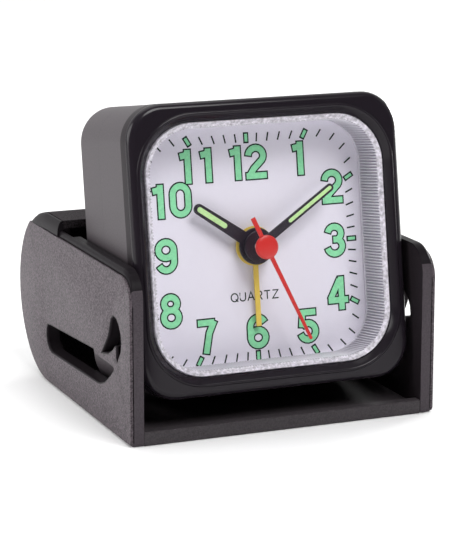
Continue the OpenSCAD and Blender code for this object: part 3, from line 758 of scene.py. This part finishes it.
# ---- everything else is the CAD node with softened edges ----
# node: its material, and the width of its bevel in millimetres
LOOKS = {
    "case_base_plate": (FLOOR_PAINTED_SHADE, 0.25),
    "case_rear_cover": (TOP_PAINTED_SHADE, 0.2),
    "pivot_pin_left": (STEEL, 0),
    "pivot_pin_right": (STEEL, 0),
    "mid_case": (SATIN, 0.15),
    "back_cover": (SATIN, 0.15),
    "back_cover_screws": (STEEL, 0.1),
    "battery_door": (SATIN, 0.12),
    "battery_cell": (CELL, 0.2),
    "contact_spring": (STEEL, 0),
    "contact_plate": (STEEL, 0),
    "movement_front_plate": (WHITE, 0),
    "movement_rear_cover": (WHITE, 0),
    "movement_screws": (STEEL, 0),
    "circuit_board": (BOARD, 0),
    "quartz_crystal": (STEEL, 0),
    "driver_chip": (DARK_AND_SHADE, 0),
    "coil_bobbin": (WHITE, 0),
    "coil_winding": (COPPER, 0),
    "stator": (IRON, 0),
    "rotor": (MAGNET, 0),
    "intermediate_wheel": (WHITE, 0),
    "seconds_wheel": (WHITE, 0),
    "third_wheel": (WHITE, 0),
    "centre_wheel": (WHITE, 0),
    "minute_works_wheel": (WHITE, 0),
    "hour_wheel": (WHITE, 0),
    "alarm_wheel": (WHITE, 0),
    "alarm_contact_spring": (COPPER, 0),
    "buzzer": (BRASS, 0),
    "time_set_knob": (SATIN, 0.1),
    "alarm_set_knob": (SATIN, 0.1),
    "alarm_switch": (SATIN, 0.12),
}
for node, (look, bevel) in LOOKS.items():
    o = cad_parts[node]
    o.data.materials.clear()
    o.data.materials.append(look)
    kept = o.data.attributes.get("custom_normal")
    if kept:
        o.data.attributes.remove(kept)
    o.data.shade_smooth()
    weld = o.modifiers.new("weld", "WELD")
    weld.merge_threshold = 1e-6
    if bevel:
        bev = o.modifiers.new("soft edges", "BEVEL")
        bev.width = bevel * MM
        bev.segments = 2
        bev.limit_method = "ANGLE"
        bev.angle_limit = math.radians(40)
    split = o.modifiers.new("hard edges", "EDGE_SPLIT")
    split.split_angle = math.radians(32)
    flat = o.modifiers.new("flat faces", "WEIGHTED_NORMAL")
    flat.weight = 100

# ---- floor, light and camera ----
bpy.ops.mesh.primitive_plane_add(size=6, location=(0, 0, -0.0001))
floor = bpy.context.object
floor.name = "floor"
floor.data.materials.append(material("floor_white", (0.93, 0.93, 0.93), 0.8))


def area(name, at, target, size, power):
    data = bpy.data.lights.new(name, "AREA")
    data.shape = "DISK"
    data.size = size
    data.energy = power
    o = bpy.data.objects.new(name, data)
    o.location = at
    o.rotation_euler = (Vector(target) - Vector(at)).to_track_quat("-Z", "Y").to_euler()
    bpy.context.scene.collection.objects.link(o)
    return o


AIM = (0, 0, 0.03)
area("left", (-1.4, 0.1, 0.6), AIM, 1.2, 17)
area("top", (0.0, 0.5, 1.5), AIM, 1.3, 5)
area("front", (0.2, -0.9, 1.2), AIM, 0.8, 14.5)
area("right", (0.9, 0.39, 0.16), (0, 0, 0.05), 0.35, 9)

# the studio is white behind and above, and dim in front
world = bpy.data.worlds.new("studio")
world.use_nodes = True
nt = world.node_tree
at = nt.nodes.new("ShaderNodeTexCoord")
axes = nt.nodes.new("ShaderNodeSeparateXYZ")
nt.links.new(at.outputs["Generated"], axes.inputs[0])


def ramp(source, a, b, low, high):
    n = nt.nodes.new("ShaderNodeMapRange")
    n.interpolation_type = "SMOOTHSTEP"
    for key, value in (("From Min", a), ("From Max", b), ("To Min", low), ("To Max", high)):
        n.inputs[key].default_value = value
    nt.links.new(source, n.inputs["Value"])
    return n.outputs["Result"]


most = nt.nodes.new("ShaderNodeMath")
most.operation = "MAXIMUM"
nt.links.new(ramp(axes.outputs["Y"], -0.1, 0.6, 0.07, 1.0), most.inputs[0])
nt.links.new(ramp(axes.outputs["Z"], 0.4, 0.95, 0.0, 0.35), most.inputs[1])
side = nt.nodes.new("ShaderNodeMath")
side.operation = "MAXIMUM"
nt.links.new(most.outputs[0], side.inputs[0])
nt.links.new(ramp(axes.outputs["X"], 0.6, 0.95, 0.0, 0.8), side.inputs[1])
nt.links.new(side.outputs[0], nt.nodes["Background"].inputs["Strength"])
nt.nodes["Background"].inputs["Color"].default_value = (1, 1, 1, 1)
bpy.context.scene.world = world
bpy.context.scene.view_settings.view_transform = "Standard"

# a plain camera, tilted down at the clock, with no shift
cam_data = bpy.data.cameras.new("camera")
cam = bpy.data.objects.new("camera", cam_data)
bpy.context.scene.collection.objects.link(cam)
cam.location = (-0.191, -0.4662, 0.1414)
cam.rotation_euler = Vector((0.3726, 0.9009, -0.2224)).to_track_quat("-Z", "Y").to_euler()
cam_data.sensor_width = 36
cam_data.lens = 152.65
bpy.context.scene.camera = cam
